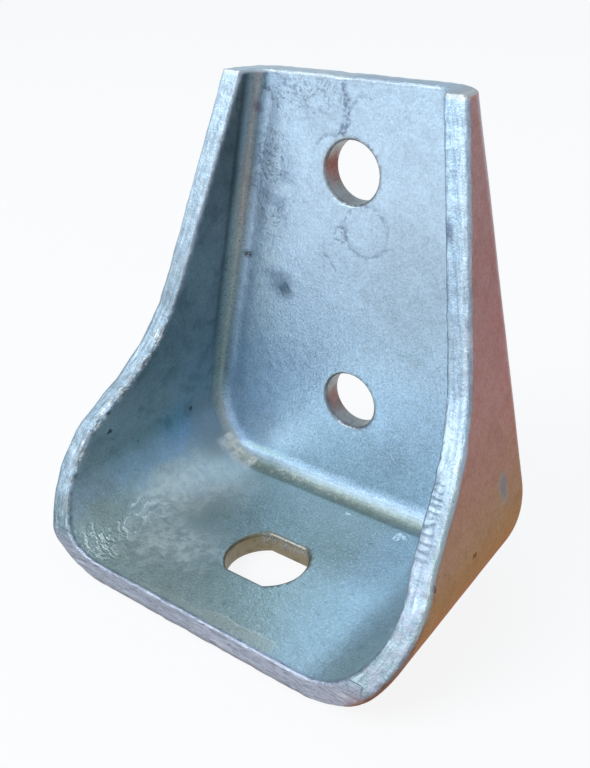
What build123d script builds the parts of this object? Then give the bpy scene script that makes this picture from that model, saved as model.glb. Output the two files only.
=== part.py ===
"""Deep-drawn angle bracket: a tapering back plate, a base and two side walls in one sheet.

The frame is X across the bracket, Y from the open front (-) to the back face (+), Z up from
the underside of the base.  The origin is under the middle of the bracket's depth and width.
"""
from build123d import *
import os
from math import radians, tan

# ---- Driving dimensions, in millimetres and degrees ----------------------------------------
SHEET = 5.0                   # thickness of the steel sheet

HEIGHT = 100.0                # underside of the base to the top edge of the back plate
DEPTH = 58.6                  # back face to the front edge of the base
BACK_WIDTH = 96.8             # across the outside, where the back face meets the underside
WALL_LEAN = 11.8              # the side walls lean in towards the top
WALL_FLARE = 3.6              # the side walls open out towards the front

CORNER_BEND = 4.5             # inside radius, back plate to side walls and to base
FOOT_BEND = 16.3              # inside radius, base to side walls

# The free edge of a side wall, seen from the side, is straight runs joined by arcs.  The
# runs meet at points given by their height and by how far they lie forward of the back face
# (reach) or behind the front edge (setback).  At the top a short land of wall is left in
# front of the corner bend, and the toe rises above the upper side of the base.
TOP_LAND = 1.3
NECK_REACH, NECK_HEIGHT, NECK_ROUND = 25.3, 43.1, 41.0
SHOULDER_SETBACK, SHOULDER_HEIGHT, SHOULDER_ROUND = 14.2, 27.5, 8.0
TOE_RISE, TOE_ROUND = 2.6, 6.0

BOLT_HOLE = 13.0              # diameter of the two holes in the back plate
LOWER_HOLE_HEIGHT = 30.0      # centre above the underside
UPPER_HOLE_DROP = 18.6        # centre below the top edge
KEYED_HOLE = 18.0             # round ends of the hole in the base, diameter
KEYED_HOLE_FLATS = 15.0       # across its two flats
KEYED_HOLE_REACH = 35.2       # centre forward of the back face

ROLLED_EDGE = 1.0             # radius of the free edges on the outer side of the sheet
BROKEN_EDGE = 0.4             # chamfer on their inner side and round the holes

# ---- Sizes that follow ---------------------------------------------------------------------
BACK = DEPTH / 2              # Y of the back face
SPARE = 10.0                  # the untrimmed form and the tools run past the part by this
BACK_PLANE = Plane.XZ.offset(-BACK)     # on the back face, its normal to the front


def drawn_block():
    """The outside of the drawn form, before trimming, as a solid."""
    form_height = HEIGHT + SPARE
    top_width = BACK_WIDTH - 2 * form_height * tan(radians(WALL_LEAN))
    front_view = Polygon(
        (-BACK_WIDTH / 2, 0),
        (BACK_WIDTH / 2, 0),
        (top_width / 2, form_height),
        (-top_width / 2, form_height),
        align=None,
    )
    block = extrude(BACK_PLANE * front_view, DEPTH + SPARE)
    left, *_, right = block.faces().sort_by(Axis.X)
    block = draft([left, right], BACK_PLANE, -WALL_FLARE)

    underside = block.faces().sort_by(Axis.Z)[0]
    foot = underside.edges().sort_by(Axis.X)
    block = fillet([foot[0], foot[-1]], FOOT_BEND + SHEET)
    back_face = block.faces().filter_by(Plane.XZ).sort_by(Axis.Y)[-1]
    corners_and_heel = back_face.edges().sort_by(Axis.Z)[:-1]
    return fillet(corners_and_heel, CORNER_BEND + SHEET)


def trim_tool():
    """The side view of the trimmed part, wider than the form."""
    free_edge = FilletPolyline(
        (BACK - SHEET - CORNER_BEND - TOP_LAND, HEIGHT),
        (BACK - NECK_REACH, NECK_HEIGHT),
        (SHOULDER_SETBACK - BACK, SHOULDER_HEIGHT),
        (-BACK, SHEET + TOE_RISE),
        (-BACK, -SPARE),
        radius=[NECK_ROUND, SHOULDER_ROUND, TOE_ROUND],
    )
    behind = Polyline(
        free_edge @ 1,
        (BACK + SPARE, -SPARE),
        (BACK + SPARE, HEIGHT),
        free_edge @ 0,
    )
    side_view = Plane.YZ * make_face(free_edge + behind)
    return extrude(side_view, BACK_WIDTH, both=True)


def punches():
    """Two round holes through the back plate and one with two flats through the base."""
    bolt = Circle(BOLT_HOLE / 2)
    heights = (LOWER_HOLE_HEIGHT, HEIGHT - UPPER_HOLE_DROP)
    bolt_holes = [BACK_PLANE * Pos(0, height) * bolt for height in heights]
    keyed = Circle(KEYED_HOLE / 2) & Rectangle(KEYED_HOLE, KEYED_HOLE_FLATS)
    keyed_hole = Pos(0, BACK - KEYED_HOLE_REACH) * keyed
    return [extrude(hole, 2 * SHEET, both=True) for hole in (*bolt_holes, keyed_hole)]


def cut_edges(before, after, skin, *depths):
    """The edges that a cut has left at these depths below the outer skin."""
    edges = new_edges(before, combined=after)
    return [
        edge for edge in edges
        if any(abs(skin.distance_to(edge @ 0.5) - depth) < 0.01 for depth in depths)
    ]


def bracket():
    block = drawn_block()
    top = block.faces().sort_by(Axis.Z)[-1]
    front = block.faces().sort_by(Axis.Y)[0]
    skin = Compound(block.faces() - [top, front])
    form = offset(block, amount=-SHEET, openings=[top, front])

    trimmed = form & trim_tool()
    trimmed = fillet(cut_edges(form, trimmed, skin, 0), ROLLED_EDGE)
    trimmed = chamfer(cut_edges(form, trimmed, skin, SHEET), BROKEN_EDGE)

    punched = trimmed - punches()
    punched = chamfer(cut_edges(trimmed, punched, skin, 0, SHEET), BROKEN_EDGE)
    return punched.solid()


os.makedirs("parts", exist_ok=True)
export_step(bracket(), "parts/bracket.step")
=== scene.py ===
import bmesh
import bpy
import math
from types import SimpleNamespace
from mathutils import Matrix, Vector, noise


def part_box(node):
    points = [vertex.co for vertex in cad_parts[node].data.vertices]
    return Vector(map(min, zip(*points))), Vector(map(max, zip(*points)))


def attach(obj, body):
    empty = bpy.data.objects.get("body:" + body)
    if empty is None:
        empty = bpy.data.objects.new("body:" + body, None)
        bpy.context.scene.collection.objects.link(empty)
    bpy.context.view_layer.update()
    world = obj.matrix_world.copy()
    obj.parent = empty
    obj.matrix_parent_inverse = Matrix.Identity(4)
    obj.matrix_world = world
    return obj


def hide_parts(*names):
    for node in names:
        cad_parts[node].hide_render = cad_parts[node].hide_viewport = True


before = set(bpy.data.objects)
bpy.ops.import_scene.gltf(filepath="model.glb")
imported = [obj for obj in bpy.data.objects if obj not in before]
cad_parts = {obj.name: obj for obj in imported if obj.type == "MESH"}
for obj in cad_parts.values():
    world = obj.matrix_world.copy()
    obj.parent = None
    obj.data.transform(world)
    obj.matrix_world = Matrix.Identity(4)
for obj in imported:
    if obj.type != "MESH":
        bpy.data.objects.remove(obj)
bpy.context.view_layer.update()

MM = 0.001

# ---- Sizes of the bracket, in millimetres and degrees --------------------------------------
SHEET = 5.0
BACK_Y = 29.3                       # back face
FRONT_Y = -29.3                     # front edge of the base
PLATE_Y = BACK_Y - SHEET            # front of the back plate
TOP_Z = 100.0
HALF_WIDTH = 48.4                   # outside, where the back face meets the underside
LEAN = math.radians(11.8)           # side walls, in towards the top
FLARE = math.radians(3.6)           # side walls, out towards the front
FOOT_ROUND = 16.3 + SHEET           # base to side walls, outside
FREE_EDGE = [(18.5, 100.0), (4.0, 43.1), (-15.1, 27.5), (-29.3, 7.6), (-29.3, -5.0)]   # Y, Z
FREE_EDGE_ROUNDS = [41.0, 8.0, 6.0]
BOLT_HOLES = [(0.0, 30.0), (0.0, 81.4)]   # X and Z
BOLT_HOLE_R = 6.5
KEYED_HOLE_Y = -5.9
KEYED_HOLE_R = 9.0
KEYED_HOLE_FLATS = 15.0
# A side wall's level thickness over its true one
WALL_SLOPE = math.sqrt(1 + math.tan(LEAN) ** 2 + math.tan(FLARE) ** 2)

# ---- The drawn, dipped and sheared surface, in millimetres ---------------------------------
GRID = 1.0                          # squares that the mesh is cut into
FINE_EDGE = 0.5                     # longest mesh edge that is left alone on the cut edges
ARC_STEPS = 12                      # straight runs in each round corner of the free edge
CLEAR_BEHIND = 8.0                  # further than this behind the free edge is off it
FAR_OFF = 1e9                       # stands for a distance that is not worked out
CUT_FADE = (0.25, 1.1)              # from the free edge, over which its sheared face ends
HOLE_FADE = (0.15, 0.7)             # from the wall of a hole, over which its punched face ends
FRONT_RUN = 40.0                    # half the straight run of the front edge
DRAWN_WAVES = (0.09, 0.03)          # heights of the long and the short waves in the sheet
RAGGED_WAVES = (0.17, 0.09)         # heights of the long and the short waves in the cut edges
TORN_DEPTH = 0.75
TORN_FROM, TORN_TO = (12, 20), (42, 52)   # Z over which the torn stretch starts and ends
TORN_AT_RIGHT = 0.25                # share of the tearing on the right edge

# ---- The studio, in millimetres ------------------------------------------------------------
WHITE = (1.0, 1.0, 1.0, 1.0)
FLOOR_REACH = 4000
FLOOR_WHITENESS = 0.86
BROWN_CARD, RED_CARD = (0.54, 0.17, 0.03), (0.62, 0.16, 0.09)
CARD_FRONT, CARD_SPLIT, CARD_LIFT = -220, 120, 0.3
SKY_COLOUR, SKY_STRENGTH = (0.77, 0.89, 1.0, 1.0), 0.76
KEY_PLACE, KEY_TARGET = (-350, -700, 650), (0, 0, 40)
KEY_SIZE, KEY_POWER, KEY_COLOUR = (0.6, 0.6), 6.0, (0.93, 0.97, 1.0)   # metres and watts
CAMERA_PLACE = (107.730, -131.524, 129.225)
CAMERA_RIGHT, CAMERA_DOWN = (0.78985, 0.61308, -0.01634), (0.26308, -0.36277, -0.89397)
CAMERA_LENS = 44.6821875            # on a sensor 36 wide


# ---- Shader tree helper --------------------------------------------------------------------
class Wire:
    """A value at a shader socket.  + - * / add Math nodes; add() makes any other node.

    A Wire of a tree alone holds no value and is there to add the first nodes."""

    def __init__(self, tree, socket=None):
        self.tree = tree
        self.socket = socket

    def add(self, kind, settings=None, inputs=None, output=0):
        """Make a node: its settings, then the values or wires of its sockets."""
        node = self.tree.nodes.new(kind)
        for name, value in (settings or {}).items():
            setattr(node, name, value)
        for name, value in (inputs or {}).items():
            socket = node.inputs[name]
            if isinstance(value, Wire):
                self.tree.links.new(value.socket, socket)
            else:
                socket.default_value = value
        return Wire(self.tree, node.outputs[output])

    def math(self, operation, *values, clamp=False):
        """A Math node on these values, which are wires or numbers."""
        settings = {"operation": operation, "use_clamp": clamp}
        return self.add("ShaderNodeMath", settings, dict(enumerate(values)))

    def __add__(self, other):
        return self.math("ADD", self, other)

    def __radd__(self, other):
        return self.math("ADD", other, self)

    def __sub__(self, other):
        return self.math("SUBTRACT", self, other)

    def __rsub__(self, other):
        return self.math("SUBTRACT", other, self)

    def __mul__(self, other):
        return self.math("MULTIPLY", self, other)

    def __rmul__(self, other):
        return self.math("MULTIPLY", other, self)

    def __truediv__(self, other):
        return self.math("DIVIDE", self, other)

    def vector(self, operation, *values, output=0):
        """A Vector Math node on these values; its output 1 is a number, such as a length."""
        return self.add("ShaderNodeVectorMath", {"operation": operation},
                        dict(enumerate(values)), output)

    def between(self, start, end):
        """A smooth step from 0 at start to 1 at end, which may lie below start."""
        settings = {"interpolation_type": "SMOOTHSTEP"}
        return self.add("ShaderNodeMapRange", settings, {0: self, 1: start, 2: end})

    def scaled(self, amount):
        """This colour or place times a number."""
        return self.add("ShaderNodeVectorMath", {"operation": "SCALE"}, {0: self, "Scale": amount})

    def mixed(self, blend, amount, colour):
        """This colour with another blended into it; a Mix node's colours are its sockets 6, 7."""
        settings = {"data_type": "RGBA", "clamp_factor": True, "blend_type": blend}
        inputs = {0: amount, 6: self, 7: (*colour, 1.0)}
        return self.add("ShaderNodeMix", settings, inputs, output=2)

    def paint(self, mask, colour):
        """This colour with another laid over it by a mask."""
        return self.mixed("MIX", mask, colour)

    def tint(self, colour, amount):
        """This colour multiplied by another, as far as the amount says."""
        return self.mixed("MULTIPLY", amount, colour)


def new_material(name):
    """An empty node material, its tree and its output node."""
    material = bpy.data.materials.new(name)
    material.use_nodes = True
    tree = material.node_tree
    tree.nodes.clear()
    return material, tree, tree.nodes.new("ShaderNodeOutputMaterial")


def noise_at(place, size, detail=3.0, rough=0.55, distortion=0.0, shift=(0.0, 0.0, 0.0)):
    """Soft noise from 0 to 1 with lumps about this many millimetres across."""
    moved = place.vector("ADD", place, shift)
    return moved.add("ShaderNodeTexNoise", None, {
        "Vector": moved, "Scale": 1.0 / size, "Detail": detail, "Roughness": rough,
        "Distortion": distortion})


# ---- The bracket's mesh --------------------------------------------------------------------
def sliced_copy(node, step):
    """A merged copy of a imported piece, cut into even squares along X, Y and Z."""
    shape = bmesh.new()
    shape.from_mesh(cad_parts[node].data)
    bmesh.ops.remove_doubles(shape, verts=shape.verts, dist=1e-6)
    bmesh.ops.dissolve_limit(shape, angle_limit=math.radians(0.3), verts=shape.verts[:],
                             edges=shape.edges[:])
    low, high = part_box(node)
    for axis in range(3):
        normal = Vector((axis == 0, axis == 1, axis == 2))
        length = high[axis] - low[axis]
        count = round(length / step)
        for cut in range(1, count):
            place = Vector(low) + normal * (length * cut / count)
            everything = shape.verts[:] + shape.edges[:] + shape.faces[:]
            bmesh.ops.bisect_plane(shape, geom=everything, dist=2e-6, plane_co=place,
                                   plane_no=normal)
    return shape


def smooth_step(value, low, high):
    """0 up to low, 1 from high on, and a soft rise between them."""
    t = min(max((value - low) / (high - low), 0.0), 1.0)
    return t * t * (3 - 2 * t)


def rounded_line(points, radii):
    """Straight runs through these points with round corners, as close points."""
    line = [Vector(points[0])]
    for before, corner, after, radius in zip(points, points[1:], points[2:], radii):
        corner = Vector(corner)
        back = (Vector(before) - corner).normalized()
        on = (Vector(after) - corner).normalized()
        half = back.angle(on) / 2
        start = corner + back * (radius / math.tan(half))
        centre = corner + (back + on).normalized() * (radius / math.sin(half))
        end = corner + on * (radius / math.tan(half))
        spoke = start - centre
        turn = spoke.angle_signed(end - centre)
        for step in range(ARC_STEPS + 1):
            line.append(centre + Matrix.Rotation(-turn * step / ARC_STEPS, 2) @ spoke)
    line.append(Vector(points[-1]))
    return line


FREE_EDGE_LINE = [tuple(point) for point in rounded_line(FREE_EDGE, FREE_EDGE_ROUNDS)]


def along_free_edge(y, z):
    """Distance from the free edge and distance along it, seen from the side."""
    for (a_y, a_z), (b_y, b_z) in zip(FREE_EDGE, FREE_EDGE[1:]):
        if a_z >= z >= b_z and y > a_y + (b_y - a_y) * (z - a_z) / (b_z - a_z) + CLEAR_BEHIND:
            return FAR_OFF, 0.0
    best, best_run, run = FAR_OFF, 0.0, 0.0
    for (a_y, a_z), (b_y, b_z) in zip(FREE_EDGE_LINE, FREE_EDGE_LINE[1:]):
        side_y, side_z = b_y - a_y, b_z - a_z
        square = side_y * side_y + side_z * side_z
        share = ((y - a_y) * side_y + (z - a_z) * side_z) / square
        share = min(max(share, 0.0), 1.0)
        gap = math.hypot(y - a_y - share * side_y, z - a_z - share * side_z)
        length = math.sqrt(square)
        if gap < best:
            best, best_run = gap, run + share * length
        run += length
    return best, best_run


def depth_in_sheet(x, y, z):
    """How far a point lies below the outer skin, from 0 to about SHEET."""
    reach = BACK_Y - y
    half_width = HALF_WIDTH + math.tan(FLARE) * reach
    wall = (half_width - math.tan(LEAN) * z - abs(x)) / WALL_SLOPE
    depth = min(wall, z)
    centre_x = half_width - math.tan(LEAN) * FOOT_ROUND - FOOT_ROUND * WALL_SLOPE
    along_wall = (abs(x) - centre_x) / math.cos(LEAN)
    along_base = along_wall * math.sin(LEAN) - (z - FOOT_ROUND)
    if along_wall > 0 and along_base > 0:
        depth = FOOT_ROUND - math.hypot(abs(x) - centre_x, z - FOOT_ROUND)
    return min(depth, reach)


def edge_of_holes(x, y, z):
    """Distance from the wall of the nearest hole."""
    gaps = [FAR_OFF]
    if y > PLATE_Y - 2:
        gaps += [math.hypot(x - hole_x, z - hole_z) - BOLT_HOLE_R for hole_x, hole_z in BOLT_HOLES]
    if z < SHEET + 2:
        across = abs(y - KEYED_HOLE_Y) - KEYED_HOLE_FLATS / 2
        gaps.append(max(math.hypot(x, y - KEYED_HOLE_Y) - KEYED_HOLE_R, across))
    return min(gaps)


def measure_vertex(place):
    """(cut, depth, run, hole): cut and hole are 1 where the sheet is sheared and punched, depth
    lies below the outer skin, and run goes along the cut edge."""
    x, y, z = place
    free, run = along_free_edge(y, z)
    depth = depth_in_sheet(x, y, z)
    top = TOP_Z - z
    cut = 1 - smooth_step(min(free, top), *CUT_FADE)
    on_front = free < CUT_FADE[1] and y < FRONT_Y + CUT_FADE[1] and abs(x) < FRONT_RUN
    if top < free or on_front:
        run = x
    hole = 1 - smooth_step(edge_of_holes(x, y, z), *HOLE_FADE)
    return cut, depth, run, hole


def refine_cut_edges(shape):
    """Split the mesh once more where the sheet is cut."""
    fine = [edge for edge in shape.edges if edge.calc_length() > FINE_EDGE * MM
            and all(measure_vertex(vert.co / MM)[0] > 0.2 for vert in edge.verts)]
    bmesh.ops.subdivide_edges(shape, edges=fine, cuts=1, use_grid_fill=True)
    bmesh.ops.triangulate(shape, faces=[face for face in shape.faces if len(face.verts) > 4])


def lumps(place, size, shift=(0, 0, 0)):
    """Smooth noise from -1 to 1 with lumps about this many millimetres across."""
    return noise.noise(place / size + Vector(shift))


def surface_move(place, cut, depth, run, hole):
    """How far the drawn, dipped and sheared surface stands off its plain form, in mm."""
    x, y, z = place
    long_wave, short_wave = DRAWN_WAVES
    wave = long_wave * lumps(place, 15.0) + short_wave * lumps(place, 4.5, (7, 3, 1))
    seat = max(smooth_step(y, BACK_Y - 1.2, BACK_Y - 0.2), 1 - smooth_step(z, 0.2, 1.2))
    drawn = wave * (1 - seat) * (1 - hole)

    along = Vector((run, 0, 0))
    long_wave, short_wave = RAGGED_WAVES
    ragged = long_wave * lumps(along, 4.5, (1, 9, 4)) + short_wave * lumps(place, 1.7, (5, 2, 8))
    inner = smooth_step(depth, 2.6, 4.6)
    side = 1.0 if x < 0 else TORN_AT_RIGHT
    torn = smooth_step(z, *TORN_FROM) * (1 - smooth_step(z, *TORN_TO)) * side
    bite = max(0.0, lumps(along, 2.6, (2, 6, 3)) + 0.25) \
        + 0.6 * max(0.0, lumps(place, 1.1, (4, 4, 1)))
    sheared = ragged - torn * inner * bite * TORN_DEPTH
    return drawn * (1 - cut) + sheared * cut


def make_bracket():
    """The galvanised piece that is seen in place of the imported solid."""
    shape = sliced_copy("bracket", GRID * MM)
    refine_cut_edges(shape)
    mesh = bpy.data.meshes.new("galvanised_bracket")
    shape.to_mesh(mesh)
    shape.free()

    measured = [measure_vertex(vert.co / MM) for vert in mesh.vertices]
    for column, name in enumerate(("cut", "depth", "run", "hole")):
        layer = mesh.attributes.new(name, "FLOAT", "POINT")
        layer.data.foreach_set("value", [row[column] for row in measured])
    normals = [vert.normal.copy() for vert in mesh.vertices]
    for vert, normal, row in zip(mesh.vertices, normals, measured):
        vert.co += normal * (surface_move(vert.co / MM, *row) * MM)

    mesh.shade_smooth()
    piece = bpy.data.objects.new("galvanised_bracket", mesh)
    bpy.context.collection.objects.link(piece)
    mesh.materials.append(zinc_material())
    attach(piece, "root")
    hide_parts("bracket")


# ---- Materials -----------------------------------------------------------------------------
def spot(where, centre, size, soft=0.5):
    """1 inside an oval about a centre and 0 outside it, on a flat place in mm."""
    scale = (1 / size[0], 1 / size[1], 0.0)
    shift = (-centre[0] / size[0], -centre[1] / size[1], 0.0)
    far = where.vector("LENGTH", where.vector("MULTIPLY_ADD", where, scale, shift), output=1)
    return far.between(math.sqrt(1 + soft), math.sqrt(1 - soft))


def ring(where, centre, radius, width):
    """1 on a circle drawn with a line."""
    off = where.vector("DISTANCE", where, (*centre, 0.0), output=1) - radius
    return off.math("ABSOLUTE", off).between(width, width * 0.3)


def stroke(where, points, width):
    """1 on a line drawn through these points."""
    nearest = None
    for start, end in zip(points, points[1:]):
        side = Vector((*end, 0.0)) - Vector((*start, 0.0))
        along = where.vector("SUBTRACT", where, (*start, 0.0))
        share = along.vector("DOT_PRODUCT", along, side / side.length_squared, output=1)
        share = share.math("ADD", share, 0.0, clamp=True)
        foot = share.add("ShaderNodeVectorMath", {"operation": "SCALE"}, {0: side, "Scale": share})
        gap = along.vector("DISTANCE", along, foot, output=1)
        nearest = gap if nearest is None else gap.math("MINIMUM", nearest, gap)
    return nearest.between(width, width * 0.35)


def band(value, low, high, soft):
    """1 from low to high, with a fade at each end."""
    return value.between(low - soft, low + soft) * value.between(high + soft, high - soft)


def veins(pattern, width):
    """Thin wandering lines where a noise passes through its middle."""
    off = pattern - 0.5
    return off.math("ABSOLUTE", off).between(width, width * 0.3)


def survey(place):
    """Where each point lies on the bracket, and the noises that the coat is made from.  The
    finishes add to it what the roughness and the height are made from as well."""
    at = SimpleNamespace()
    split = place.add("ShaderNodeSeparateXYZ", None, {0: place})
    at.x, at.y, at.z = (Wire(place.tree, socket) for socket in split.socket.node.outputs)

    def layer(name):
        return place.add("ShaderNodeAttribute", {"attribute_name": name}, None, output=2)

    at.cut, at.depth, at.run, at.hole = layer("cut"), layer("depth"), layer("run"), layer("hole")
    at.left = at.x.between(1.0, -1.0)

    # Clear distance from the inner faces of the side wall, the back plate and the base
    half_width = (BACK_Y - at.y) * math.tan(FLARE) + HALF_WIDTH
    across = at.x.math("ABSOLUTE", at.x)
    at.wall_gap = (half_width - at.z * math.tan(LEAN) - across) / WALL_SLOPE - SHEET
    at.plate_gap = PLATE_Y - at.y
    at.base_gap = at.z - SHEET

    # From large clouds down to the grain of the coat
    at.clouds = noise_at(place, 16.0, 2.0)
    at.blotch = noise_at(place, 6.0, 3.0, 0.6, 0.4, (3.0, 7.0, 2.0))
    at.mottle = noise_at(place, 2.2, 3.0, 0.62, 0.3, (13.0, 2.0, 5.0))
    at.fleck = noise_at(place, 1.1, 2.0, 0.6, 0.2, (4.0, 1.0, 8.0))
    at.grain = noise_at(place, 0.60, 2.0, 0.6, 0.0, (9.0, 1.0, 4.0))
    at.grit = noise_at(place, 0.30, 1.0, 0.5, 0.0, (2.0, 8.0, 6.0))
    at.creep = noise_at(place, 7.0, 4.0, 0.75, 0.6, (5.0, 5.0, 1.0))
    rolled = place.add("ShaderNodeCombineXYZ", None, {0: at.run * 0.16, 1: at.depth})
    at.streak = noise_at(rolled, 0.8, 3.0, 0.65, 0.5)

    # Flat views: the plate from the front, a wall from the side, the base from above
    def flat(a, b):
        return place.add("ShaderNodeCombineXYZ", None, {0: a, 1: b})

    at.on_plate, at.on_wall, at.on_base = flat(at.x, at.z), flat(at.y, at.z), flat(at.x, at.y)
    at.on_rim = flat(at.depth, at.z)
    at.shake = flat((at.mottle - 0.5) * 3.2, (at.fleck - 0.5) * 2.6)
    at.shaken_plate = at.on_plate.vector("ADD", at.on_plate, at.shake)
    drift = flat((at.blotch - 0.5) * 9.0, (at.mottle - 0.5) * 8.0)
    at.drifted_base = at.on_base.vector("ADD", at.on_base, drift)

    # The inner face, and on it the plate, the side walls and the base
    at.inside = at.depth.between(2.5, 4.2) * (1 - at.cut)
    at.plate = at.inside * at.plate_gap.between(2.0, 0.3) * at.base_gap.between(1.5, 3.5)
    at.wall = at.inside * at.wall_gap.between(2.4, 0.6) * at.plate_gap.between(2.5, 4.5)
    ragged = at.base_gap + (at.blotch - 0.5) * 7.0
    at.base = at.inside * ragged.between(9.0, 3.5) * at.plate_gap.between(1.6, 4.0)
    return at


def fresh_coat(at, place):
    """The spangled grey-blue of new zinc, before any marks."""
    fresh_zinc, dark_fleck = (0.47, 0.58, 0.66), (0.20, 0.25, 0.30)
    tone = 0.14 + at.clouds * 0.15 + at.blotch * 0.35 + at.mottle * 0.35 + at.grain * 0.55 \
        + at.grit * 0.45
    coat = place.add("ShaderNodeRGB")
    coat.socket.default_value = (*fresh_zinc, 1.0)
    return coat.scaled(tone).paint(at.fleck.between(0.68, 0.76) * 0.5, dark_fleck)


def plate_tone_and_painted_light(colour, at):
    """Back plate in painted light and shade: bluer, lighter at the left and towards the top, darker
    low down and in two soft places; fine sparkle low down.
    """
    plate, flat, sparkle = at.plate, at.on_plate, (0.72, 0.86, 1.0)
    # Painted light and shade: a bluer cast, lighter towards the top and the left, darker low down
    # and in two soft places
    colour = colour.tint((0.98, 1.07, 1.19), plate)
    colour = colour.tint((1.07, 1.03, 0.99), plate * at.z.between(45.0, 80.0))
    colour = colour.tint((0.84, 0.88, 0.94), plate * at.z.between(50.0, 28.0))
    colour = colour.tint((1.25, 1.25, 1.27), plate * at.x.between(-6.0, -24.0))
    colour = colour.tint((0.86, 0.85, 0.84), plate * spot(flat, (16.0, 58.0), (15.0, 20.0), 0.9))
    colour = colour.tint((0.82, 0.82, 0.83), plate * spot(flat, (-4.0, 14.0), (32.0, 12.0), 0.9))
    low = plate * at.z.between(75.0, 40.0)
    colour = colour.paint(low * at.grit.between(0.56, 0.68) * 0.30, sparkle)
    return colour.tint((0.70, 0.74, 0.78), low * at.grit.between(0.44, 0.34) * 0.6)


def plate_lace(colour, at):
    """A dull cloud and a lace of fine veins at the upper left of the plate."""
    flat, lace_grey = at.on_plate, (0.14, 0.19, 0.26)
    shade = spot(flat, (-20.5, 76.0), (7.0, 13.0), 0.8) * at.blotch.between(0.42, 0.60)
    colour = colour.tint((0.60, 0.63, 0.67), at.plate * shade * 0.8)
    zone = spot(flat, (-21.0, 77.0), (6.5, 13.0), 0.8) \
        + spot(flat, (-11.0, 96.0), (12.0, 5.0), 0.9) \
        + spot(flat, (6.0, 62.0), (16.0, 12.0), 0.9) * 0.25
    lace = veins(at.creep, 0.05) * (0.2 + at.fleck.between(0.42, 0.58) * 0.8)
    return colour.paint(at.plate * lace * zone * 0.55, lace_grey)


def plate_marks(colour, at):
    """Runs down from the top edge, two rings below the upper hole, and smudges."""
    shaken, vein_blue, smudge_blue = at.shaken_plate, (0.16, 0.22, 0.32), (0.10, 0.17, 0.25)
    broken = (0.25 + at.fleck.between(0.38, 0.60) * 0.75) * at.plate
    dark = stroke(shaken, [(-2.1, 100.0), (-1.2, 95.2), (-1.1, 91.7), (-2.5, 88.9)], 1.1) * 0.80 \
        + stroke(shaken, [(-2.5, 88.9), (-6.5, 88.2), (-8.4, 86.6)], 0.6) * 0.45 \
        + stroke(shaken, [(-0.6, 93.0), (0.6, 95.6), (2.6, 96.8), (4.6, 96.0)], 0.6) * 0.40 \
        + stroke(shaken, [(-20.8, 99.4), (-21.2, 96.6), (-18.4, 92.6)], 0.6) * 0.65 \
        + stroke(shaken, [(-6.8, 63.4), (-4.7, 61.8), (-3.8, 60.2)], 0.5) * 0.50 \
        + ring(shaken, (3.6, 69.9), 5.4, 0.6) * 0.50 + ring(shaken, (-2.6, 68.4), 1.5, 0.5) * 0.55
    colour = colour.paint(dark * broken, vein_blue)
    smudge = spot(shaken, (-18.9, 54.0), (3.5, 3.7), 0.9) * 0.55 \
        + spot(shaken, (-17.4, 52.6), (2.0, 2.3), 0.8) * 0.35 \
        + spot(shaken, (-22.6, 55.9), (2.4, 1.4), 0.9) * 0.25
    return colour.paint(at.plate * smudge, smudge_blue)


def wall_inside_and_painted_shade(colour, at):
    """Side walls, inner face: painted shade, darkest high up at the left, with a scratch and three
    pits.
    """
    patch_grey, scratch_grey = (0.30, 0.38, 0.38), (0.42, 0.50, 0.52)
    pit_black = (0.03, 0.04, 0.04)
    flat, left = at.on_wall, at.inside * at.left
    inner = at.wall * (1 - at.base)
    # Painted shade: the inner face darker overall and darker still high up at the left
    colour = colour.tint((0.57, 0.57, 0.53), inner * at.left * at.z.between(14.0, 46.0))
    colour = colour.tint((0.66, 0.74, 0.75), inner * at.left * at.z.between(55.0, 80.0))
    colour = colour.tint((0.76, 0.81, 0.80), inner)
    patch = at.mottle.between(0.45, 0.65) * at.clouds.between(0.40, 0.60)
    colour = colour.paint(inner * patch * 0.35, patch_grey)
    colour = colour.tint((0.70, 0.74, 0.76), inner * at.blotch.between(0.50, 0.36) * 0.6)
    # Painted shade in three soft places at the left: one teal, two warmer and less blue
    colour = colour.tint((0.70, 0.88, 0.94), left * spot(flat, (9.6, 19.0), (7.5, 5.0), 0.9) * 0.9)
    colour = colour.tint((0.87, 0.84, 0.76), left * spot(flat, (-18.4, 14.6), (8.0, 8.0), 0.9))
    colour = colour.tint((0.86, 0.87, 0.80), left * spot(flat, (-4.0, 17.0), (13.0, 6.0), 0.9))
    shaken = flat.vector("ADD", flat, at.shake)
    scratch = stroke(shaken, [(3.5, 36.4), (9.0, 34.6), (15.0, 35.4)], 0.45)
    colour = colour.paint(scratch * inner * at.left * at.fleck.between(0.40, 0.55) * 0.35,
                          scratch_grey)
    pits = spot(shaken, (13.9, 20.3), (0.5, 0.5)) + spot(shaken, (-10.8, 24.5), (0.6, 0.5)) \
        + spot(shaken, (-3.2, 18.7), (0.35, 0.35)) * 0.6
    return colour.paint(pits * left * 0.9, pit_black)


def wall_outside(colour, at):
    """Right wall, outer face: painted darker high up and more orange low down, tuning its warm
    reflection; blotched, worn through in one place, with two dark dots.
    """
    bare_steel, dot_black = (0.24, 0.23, 0.24), (0.10, 0.09, 0.09)
    shaken = at.on_wall.vector("ADD", at.on_wall, at.shake)
    outer = at.depth.between(1.5, 0.5) * at.wall_gap.between(-1.5, -4.5) * (1 - at.left)
    at.worn = outer * spot(shaken, (14.0, 29.2), (1.7, 3.2), 0.8) * (0.4 + at.fleck)
    colour = colour.paint(at.worn * 0.8, bare_steel)
    # Painted reflection: darker high up, more orange low down
    colour = colour.tint((0.89, 0.87, 0.87), outer * at.z.between(40.0, 70.0))
    colour = colour.tint((0.98, 1.12, 0.94), outer * at.z.between(42.0, 20.0))
    colour = colour.tint((0.80, 0.78, 0.80), outer * at.blotch.between(0.50, 0.66) * 0.6)
    dots = spot(shaken, (-16.0, 25.1), (0.6, 0.6)) + spot(shaken, (-0.3, 22.6), (0.7, 0.5)) * 0.7
    return colour.paint(dots * outer, dot_black)


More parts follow.
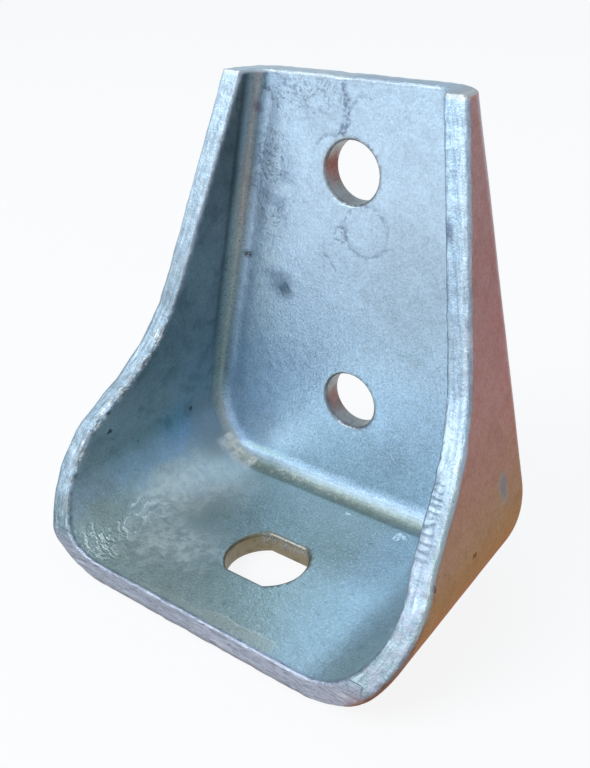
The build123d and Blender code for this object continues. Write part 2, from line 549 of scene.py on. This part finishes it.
def base_tone(colour, at):
    """Base: teal grey, with a painted pale warm sheen and a pale cool cloud at the left."""
    pale_warm_sheen, pale_cool = (0.93, 0.91, 0.80), (0.94, 0.96, 0.88)
    light_grit, dark_fleck = (0.80, 0.86, 0.84), (0.16, 0.21, 0.21)
    base, drifted = at.base, at.drifted_base
    colour = colour.tint((0.88, 0.85, 0.69), base)
    colour = colour.tint((0.98, 1.02, 1.14), base * at.x.between(8.0, 24.0))
    behind_hole = spot(at.on_base, (8.0, 12.0), (26.0, 16.0), 0.8)
    colour = colour.tint((0.74, 0.72, 0.70), base * behind_hole)
    along = at.mottle.between(0.38, 0.62)
    # Painted sheen: a pale warm reflection by the foot of the left wall
    warm = spot(drifted, (-29.5, 6.0), (12.0, 16.0), 0.9)
    colour = colour.paint(base * warm * (0.70 + along * 0.30), pale_warm_sheen)
    cool = spot(drifted, (-20.5, -13.0), (11.5, 10.0), 0.9)
    colour = colour.paint(base * cool * (0.50 + along * 0.50), pale_cool)
    teal = spot(drifted, (-20.5, 1.0), (3.6, 8.5), 0.7) \
        + spot(drifted, (-17.0, -20.5), (5.5, 4.0), 0.8) * 0.7
    colour = colour.tint((0.66, 0.74, 0.74), base * teal * (0.3 + along * 0.5))
    colour = colour.paint(base * at.grit.between(0.60, 0.70) * 0.45, light_grit)
    return colour.paint(base * at.fleck.between(0.60, 0.68) * 0.18, dark_fleck)


def base_film(colour, at):
    """A dried film along the front of the base, with a pale shore line, and a few crumbs."""
    film_grey, shore_grey, crumb_grey = (0.60, 0.60, 0.50), (0.80, 0.81, 0.72), (0.85, 0.86, 0.78)
    x, base, drifted = at.x, at.base, at.drifted_base
    shore = at.y + (at.blotch - 0.5) * 7.0 - x * 0.05
    film = base * shore.between(-25.7, -26.6) * band(x, -18.0, 18.5, 1.2)
    colour = colour.paint(film * x.between(-26.0, 8.0) * 0.50, film_grey)
    shore_line = base * band(shore, -26.4, -25.9, 0.3) * band(x, 2.0, 19.0, 2.0)
    colour = colour.paint(shore_line * 0.5, shore_grey)
    crumbs = spot(drifted, (19.0, 17.1), (1.0, 0.9)) + spot(drifted, (5.6, 17.4), (0.8, 0.8)) \
        + spot(at.on_base, (12.3, -23.6), (0.4, 0.4))
    return colour.paint(crumbs * base * at.grain.between(0.42, 0.52) * 0.8, crumb_grey)


def base_ripples(colour, at):
    """Ripples where the zinc ran and set at the left of the base, with painted glints on their
    crests.
    """
    flat, crest_glint_white = at.on_base, (0.98, 1.0, 0.95)
    far = flat.vector("DISTANCE", at.drifted_base, (-24.0, -9.0, 0.0), output=1)
    wave = far.math("SINE", far * 3.4 + at.blotch * 16.0 + at.mottle * 3.0)
    where = at.inside * at.base_gap.between(5.0, 3.0) * at.blotch.between(0.40, 0.52) * (
        spot(flat, (-31.5, -13.0), (5.0, 8.0), 0.7) + spot(flat, (-33.0, -25.0), (6.5, 4.0), 0.7))
    at.ripple = wave * where
    # Painted glints on the ripple crests
    crest_glint = where * wave.between(0.55, 0.95) * at.mottle.between(0.40, 0.52)
    return colour.paint(crest_glint * 0.85, crest_glint_white)


def corner_band_painted_light(colour, at):
    """The bend between the left wall and the plate: a speckled band of painted warm reflection,
    with painted shade along its edges.
    """
    speck_black, painted_shade_teal = (0.06, 0.06, 0.06), (0.07, 0.11, 0.13)
    bend = at.inside * at.left * at.plate_gap.between(0.0, 0.9) * at.plate_gap.between(4.4, 3.3) \
        * at.wall_gap.between(4.9, 4.2)
    # Painted reflection: the band darker and warmer, lighter from the middle up, bluer at the top
    colour = colour.tint((0.73, 0.73, 0.63), bend * at.z.between(14.0, 30.0))
    colour = colour.tint((1.13, 1.09, 1.09), bend * at.z.between(45.0, 70.0))
    colour = colour.tint((0.80, 1.00, 1.10), bend * at.z.between(72.0, 88.0))
    colour = colour.paint(bend * at.grit.between(0.60, 0.68) * at.z.between(90.0, 60.0) * 0.75,
                          speck_black)
    # Painted shade: a dark line on the plate side of the bend and another on the wall side
    plate_side = at.inside * at.left * band(at.plate_gap, 0.1, 1.2, 0.4) \
        * at.wall_gap.between(8.0, 5.0)
    colour = colour.tint((0.46, 0.51, 0.56), plate_side * at.z.between(16.0, 30.0))
    wall_side = at.inside * at.left * band(at.plate_gap, 3.9, 4.9, 0.5) \
        * at.wall_gap.between(2.0, 0.8)
    return colour.paint(wall_side * at.z.between(28.0, 45.0) * 0.55, painted_shade_teal)


def corner_spots(colour, at):
    """A black speck, an inky blob near the top and painted shade low in the left corner."""
    flat, black, ink, dim = at.on_plate, (0.05, 0.05, 0.05), (0.12, 0.13, 0.22), (0.42, 0.42, 0.36)
    speck = spot(flat, (-28.0, 59.2), (1.3, 1.1), 0.9) * at.grit.between(0.40, 0.50) * at.inside
    colour = colour.paint(speck * 0.9, black)
    blob = spot(flat, (-22.9, 92.2), (0.8, 1.5), 0.9) * at.inside * at.y.between(20.0, 22.0)
    colour = colour.paint(blob * 0.6, ink)
    # Painted shade: a darker warm grey in the round corner low at the left, over its reflection
    corner_ball_shade = spot(flat, (-36.5, 14.0), (6.0, 9.5), 0.8) * at.inside \
        * at.plate_gap.between(0.6, 2.0) * at.plate_gap.between(15.0, 8.0)
    return colour.paint(corner_ball_shade * 0.60, dim)


def heel_finish(colour, at):
    """The bend between the plate and the base: painted shade, painted light and a painted highlight
    line above, crusted below, a painted glint at left.
    """
    painted_highlight_blue, crust_beige, glint_white = (0.58, 0.70, 0.82), (0.68, 0.64, 0.54), (1.0, 0.96, 0.88)
    turn = at.base_gap - at.plate_gap + (at.mottle - 0.5) * 1.0
    heel = at.inside * at.plate_gap.between(5.2, 4.2) * at.base_gap.between(5.2, 4.2)
    at.heel = heel
    # Painted shade over the bend, painted light where it turns up into the plate, and a painted
    # highlight line
    colour = colour.tint((0.66, 0.68, 0.66), heel * turn.between(2.2, 1.2))
    colour = colour.tint((1.40, 1.34, 1.28), heel * turn.between(1.7, 2.6))
    colour = colour.paint(heel * band(turn, 0.95, 1.75, 0.35) * 0.35, painted_highlight_blue)
    crust = heel * band(turn, -3.4, -0.2, 0.8)
    colour = colour.tint((1.0, 0.94, 0.80), crust)
    colour = colour.paint(crust * at.fleck.between(0.54, 0.64) * at.x.between(30.0, -25.0) * 0.6,
                          crust_beige)
    # A painted glint at the left end of the bend
    at.glint = stroke(at.on_plate, [(-34.8, 10.6), (-31.2, 7.7), (-27.0, 6.1)], 1.1) \
        * at.inside * band(at.y, 18.0, 22.5, 0.8) * (0.55 + at.mottle.between(0.42, 0.56) * 0.45)
    return colour.paint(at.glint * 0.9, glint_white)


def edge_tone(colour, at):
    """All sheared free edges: streaked along their run, pitted, in painted shade low down and
    painted light in a band on the right edge.
    """
    streak_light, pit_dark = (0.66, 0.74, 0.82), (0.16, 0.20, 0.26)
    top_grey, top_beige = (0.72, 0.74, 0.74), (0.56, 0.52, 0.47)
    z, rim = at.z, at.cut
    right = rim * (1 - at.left)
    # Painted light and shade: the edges darker low down, lighter in a band on the right edge
    colour = colour.tint((0.74, 0.76, 0.78), rim * z.between(82.0, 45.0))
    colour = colour.tint((0.74, 0.77, 0.78), rim * z.between(20.0, 9.0))
    colour = colour.tint((0.88, 0.88, 0.87), rim * at.left * z.between(72.0, 50.0))
    colour = colour.tint((0.76, 0.78, 0.74), rim * at.left * z.between(16.0, 10.0))
    colour = colour.tint((1.15, 1.12, 1.10), right * band(z, 36.0, 62.0, 8.0))
    colour = colour.tint((0.92, 0.90, 0.84), right * z.between(26.0, 12.0))
    colour = colour.tint((0.70, 0.73, 0.78), rim * at.streak.between(0.52, 0.38) * 0.8)
    colour = colour.paint(rim * at.streak.between(0.56, 0.70) * 0.5, streak_light)
    colour = colour.paint(rim * at.grain.between(0.62, 0.70) * 0.55, pit_dark)
    top = rim * z.between(TOP_Z - 1.2, TOP_Z - 0.4)
    colour = colour.paint(top * 0.5, top_grey)
    return colour.paint(top * at.x.between(21.0, 26.0) * 0.6, top_beige)


def left_edge(colour, at):
    """The left free edge: torn along its inner lip, whose light patches are partly torn metal and
    partly painted glints.
    """
    lip_grey, torn_metal_glint = (0.22, 0.23, 0.23), (0.90, 0.89, 0.84)
    lip = at.cut * at.left * at.depth.between(2.2, 4.4) * band(at.z, 11.0, 46.0, 3.0)
    colour = colour.paint(lip * at.mottle.between(0.48, 0.60) * 0.6, lip_grey)
    at.torn = lip * at.streak.between(0.50, 0.60) * at.fleck.between(0.40, 0.54) \
        * at.z.between(18.0, 28.0)
    # Light patches on the torn lip: partly torn metal, partly painted glints
    return colour.paint(at.torn * 0.85, torn_metal_glint)


def right_edge(colour, at):
    """The right free edge: ribbed by the shear, with a crust low down and two dark marks."""
    crust_grey, mark_blue, shade_grey = (0.36, 0.37, 0.45), (0.09, 0.12, 0.19), (0.52, 0.54, 0.50)
    x, z, depth = at.x, at.z, at.depth
    right = at.cut * (1 - at.left)
    deep = right * depth.between(1.4, 2.4)
    colour = colour.tint((0.82, 0.87, 0.92), deep * z.between(45.0, 52.0))
    at.ribs = x.math("SINE", at.run * 4.0 + at.blotch * 18.0) * right * band(z, 28.0, 38.0, 3.0) \
        * depth.between(1.8, 2.8)
    colour = colour.tint((0.80, 0.82, 0.84), at.ribs.between(0.0, 1.0) * 0.6)
    crust = right * z.between(36.0, 24.0) * at.mottle.between(0.44, 0.56)
    colour = colour.paint(crust * 0.50, crust_grey)
    marks = spot(at.on_rim, (4.2, 77.6), (1.0, 2.4), 0.9) * 0.7 \
        + spot(at.on_rim, (4.3, 37.4), (0.8, 1.3), 0.9) * 0.5
    colour = colour.paint(right * marks * (0.4 + at.fleck), mark_blue)
    shade = right * z.between(44.0, 38.0) * depth.between(1.6, 0.6) * z.between(16.0, 24.0)
    return colour.paint(shade * 0.35, shade_grey)


def front_edge(colour, at):
    """The front edge: violet grey, with long flow lines, and darker along its foot."""
    violet, line_dark = (0.55, 0.56, 0.68), (0.13, 0.13, 0.16)
    flow_light, dark_foot = (0.76, 0.79, 0.88), (0.16, 0.15, 0.15)
    x, z = at.x, at.z
    front = at.cut * at.y.between(FRONT_Y + 2.2, FRONT_Y + 0.6) * z.between(10.0, 6.0)
    colour = colour.paint(front * 0.50, violet)
    lengthwise = x.add("ShaderNodeCombineXYZ", None, {0: x * 0.10, 1: z * 1.1})
    flow = noise_at(lengthwise, 0.9, 3.0, 0.7, 0.8, (2.0, 5.0, 0.0))
    colour = colour.paint(front * veins(flow, 0.030) * 0.65, line_dark)
    colour = colour.paint(front * flow.between(0.58, 0.68) * 0.45, flow_light)
    # Darker along its foot
    colour = colour.paint(front * z.between(1.7, 0.9) * 0.45, dark_foot)
    at.tears = at.cut * (at.streak * 0.7 + at.fleck * 0.4) + front * flow * 0.8 + at.ribs * 0.4
    return colour


def hole_finish(colour, at):
    """Punched walls painted brown for the warm reflection they show, deeper in the keyed hole,
    rough at the back of the keyed hole.
    """
    brown_reflection, keyed_brown_reflection, rough_zinc = (0.33, 0.31, 0.28), (0.23, 0.18, 0.09), (0.42, 0.48, 0.54)
    keyed = at.hole * at.z.between(8.0, 6.0)
    # Painted reflection: the hole walls brown, a deeper brown in the keyed hole
    colour = colour.paint(at.hole * 0.75, brown_reflection)
    colour = colour.paint(keyed * 0.80, keyed_brown_reflection)
    colour = colour.tint((0.70, 0.68, 0.66), at.hole * at.mottle.between(0.48, 0.62) * 0.6)
    rough = keyed * at.z.between(1.6, 4.0) * at.y.between(-0.5, 1.0) \
        * at.grit.between(0.44, 0.58) * at.mottle.between(0.36, 0.50)
    return colour.paint(rough * 0.75, rough_zinc)


FINISHES = (plate_tone_and_painted_light, plate_lace, plate_marks, wall_inside_and_painted_shade, wall_outside, base_tone, base_film,
            base_ripples, corner_band_painted_light, corner_spots, heel_finish, edge_tone, left_edge,
            right_edge, front_edge, hole_finish)   # laid one over another in this order


def zinc_material():
    """The galvanised coat: fresh zinc, and every finish above laid over it."""
    material, tree, out = new_material("mottled_zinc")
    start = Wire(tree)
    place = start.add("ShaderNodeTexCoord", output="Object").scaled(1 / MM)
    at = survey(place)
    colour = fresh_coat(at, place)
    for finish in FINISHES:
        colour = finish(colour, at)
    rough = 0.35 + at.mottle * 0.14 + at.cut * 0.10 + at.base * 0.04 + at.heel * 0.12 \
        + at.glint * 0.25 + at.worn * 0.2
    metal = 0.92 - at.worn * 0.4
    height_in_mm = at.grain * 0.070 + at.mottle * 0.12 + at.grit * 0.030 + at.ripple * 0.060 \
        + at.tears * 0.15 + at.torn * 0.12
    relief = start.add("ShaderNodeBump", None, {
        "Strength": 1.0, "Distance": MM, "Height": height_in_mm})
    zinc = start.add("ShaderNodeBsdfPrincipled", None, {
        "Base Color": colour, "Roughness": rough, "Metallic": metal, "Normal": relief})
    tree.links.new(zinc.socket, out.inputs[0])
    return material


def floor_material():
    """Pale matte floor that shows white to the camera and keeps a soft shadow."""
    material, tree, out = new_material("pale_floor")
    start = Wire(tree)
    matte = start.add("ShaderNodeBsdfPrincipled", None, {
        "Base Color": (0.82, 0.83, 0.85, 1.0), "Roughness": 0.9})
    rays = start.add("ShaderNodeLightPath", output="Is Camera Ray")
    kinds = rays.socket.node.outputs
    seen = rays.math("MAXIMUM", rays, Wire(tree, kinds["Is Glossy Ray"]))
    seen = seen.math("MAXIMUM", seen, Wire(tree, kinds["Is Transmission Ray"]))
    white = start.add("ShaderNodeEmission", None, {"Color": WHITE, "Strength": 1.0})
    mixed = start.add("ShaderNodeMixShader", None, {
        0: seen * FLOOR_WHITENESS, 1: matte, 2: white})
    tree.links.new(mixed.socket, out.inputs[0])
    return material


def card_material(name, colour):
    """The even glow of a card."""
    material, tree, out = new_material(name)
    glow = Wire(tree).add("ShaderNodeEmission", None, {"Color": (*colour, 1.0), "Strength": 1.0})
    tree.links.new(glow.socket, out.inputs[0])
    return material


# ---- Studio --------------------------------------------------------------------------------
def studio_sheet(name, corners, material):
    """A flat four-sided piece of the studio through these corners, in millimetres."""
    shape = bmesh.new()
    shape.faces.new([shape.verts.new(Vector(corner) * MM) for corner in corners])
    mesh = bpy.data.meshes.new(name)
    shape.to_mesh(mesh)
    shape.free()
    piece = bpy.data.objects.new(name, mesh)
    bpy.context.collection.objects.link(piece)
    mesh.materials.append(material)
    return piece


def level(left, right, front, back, height):
    """The corners of a level sheet, in millimetres."""
    return [(left, front, height), (right, front, height), (right, back, height),
            (left, back, height)]


def make_floor():
    """A wide level floor under the base."""
    corners = level(-FLOOR_REACH, FLOOR_REACH, -FLOOR_REACH, FLOOR_REACH, 0)
    studio_sheet("floor", corners, floor_material())


def make_warm_cards():
    """Warm cards at the right and behind, which only reflections see."""
    near, middle, far = 36, 100, 500
    wall_left, wall_top = 62, 260
    for name, colour, corners in (
            ("card_near", BROWN_CARD, level(near, middle, CARD_FRONT, CARD_SPLIT, CARD_LIFT)),
            ("card_low", RED_CARD, level(middle, far, CARD_FRONT, far, CARD_LIFT)),
            ("card_behind", RED_CARD, level(near, middle, CARD_SPLIT, far, CARD_LIFT)),
            ("card_back", RED_CARD, [(far, far, 0), (wall_left, far, 0),
                                     (wall_left, far, wall_top), (far, far, wall_top)])):
        card = studio_sheet(name, corners, card_material("warm_" + name, colour))
        card.visible_camera = False
        card.visible_shadow = False
        card.visible_diffuse = False


def make_key_light():
    """One large soft light, high in front at the left."""
    light = bpy.data.lights.new("key", "AREA")
    light.shape = "RECTANGLE"
    light.size, light.size_y = KEY_SIZE
    light.energy = KEY_POWER
    light.color = KEY_COLOUR
    lamp = bpy.data.objects.new("key", light)
    direction = (Vector(KEY_TARGET) - Vector(KEY_PLACE)) * MM
    lamp.matrix_world = Matrix.Translation(Vector(KEY_PLACE) * MM) \
        @ direction.to_track_quat("-Z", "Y").to_matrix().to_4x4()
    bpy.context.collection.objects.link(lamp)


def make_sky():
    """Soft bluish light from all sides, and plain white where the camera looks past."""
    world = bpy.data.worlds.new("soft_sky")
    bpy.context.scene.world = world
    world.use_nodes = True
    tree = world.node_tree
    tree.nodes.clear()
    out = tree.nodes.new("ShaderNodeOutputWorld")
    seen = Wire(tree).add("ShaderNodeLightPath", output="Is Camera Ray")
    sky = seen.add("ShaderNodeBackground", None, {"Color": SKY_COLOUR, "Strength": SKY_STRENGTH})
    white = seen.add("ShaderNodeBackground", None, {"Color": WHITE, "Strength": 1.0})
    mixed = seen.add("ShaderNodeMixShader", None, {0: seen, 1: sky, 2: white})
    tree.links.new(mixed.socket, out.inputs[0])


def make_camera():
    """Stands to the right of the open front and looks down into the bracket."""
    data = bpy.data.cameras.new("camera")
    data.sensor_width = 36.0
    data.lens = CAMERA_LENS
    data.clip_start = 0.01
    right = Vector(CAMERA_RIGHT)
    down = Vector(CAMERA_DOWN)
    forward = right.cross(down)
    turn = Matrix((right, -down, -forward)).transposed().to_4x4()
    camera = bpy.data.objects.new("camera", data)
    camera.matrix_world = Matrix.Translation(Vector(CAMERA_PLACE) * MM) @ turn
    bpy.context.collection.objects.link(camera)
    bpy.context.scene.camera = camera


make_camera()
make_floor()
make_warm_cards()
make_key_light()
make_sky()
make_bracket()
bpy.context.scene.view_settings.view_transform = "Standard"
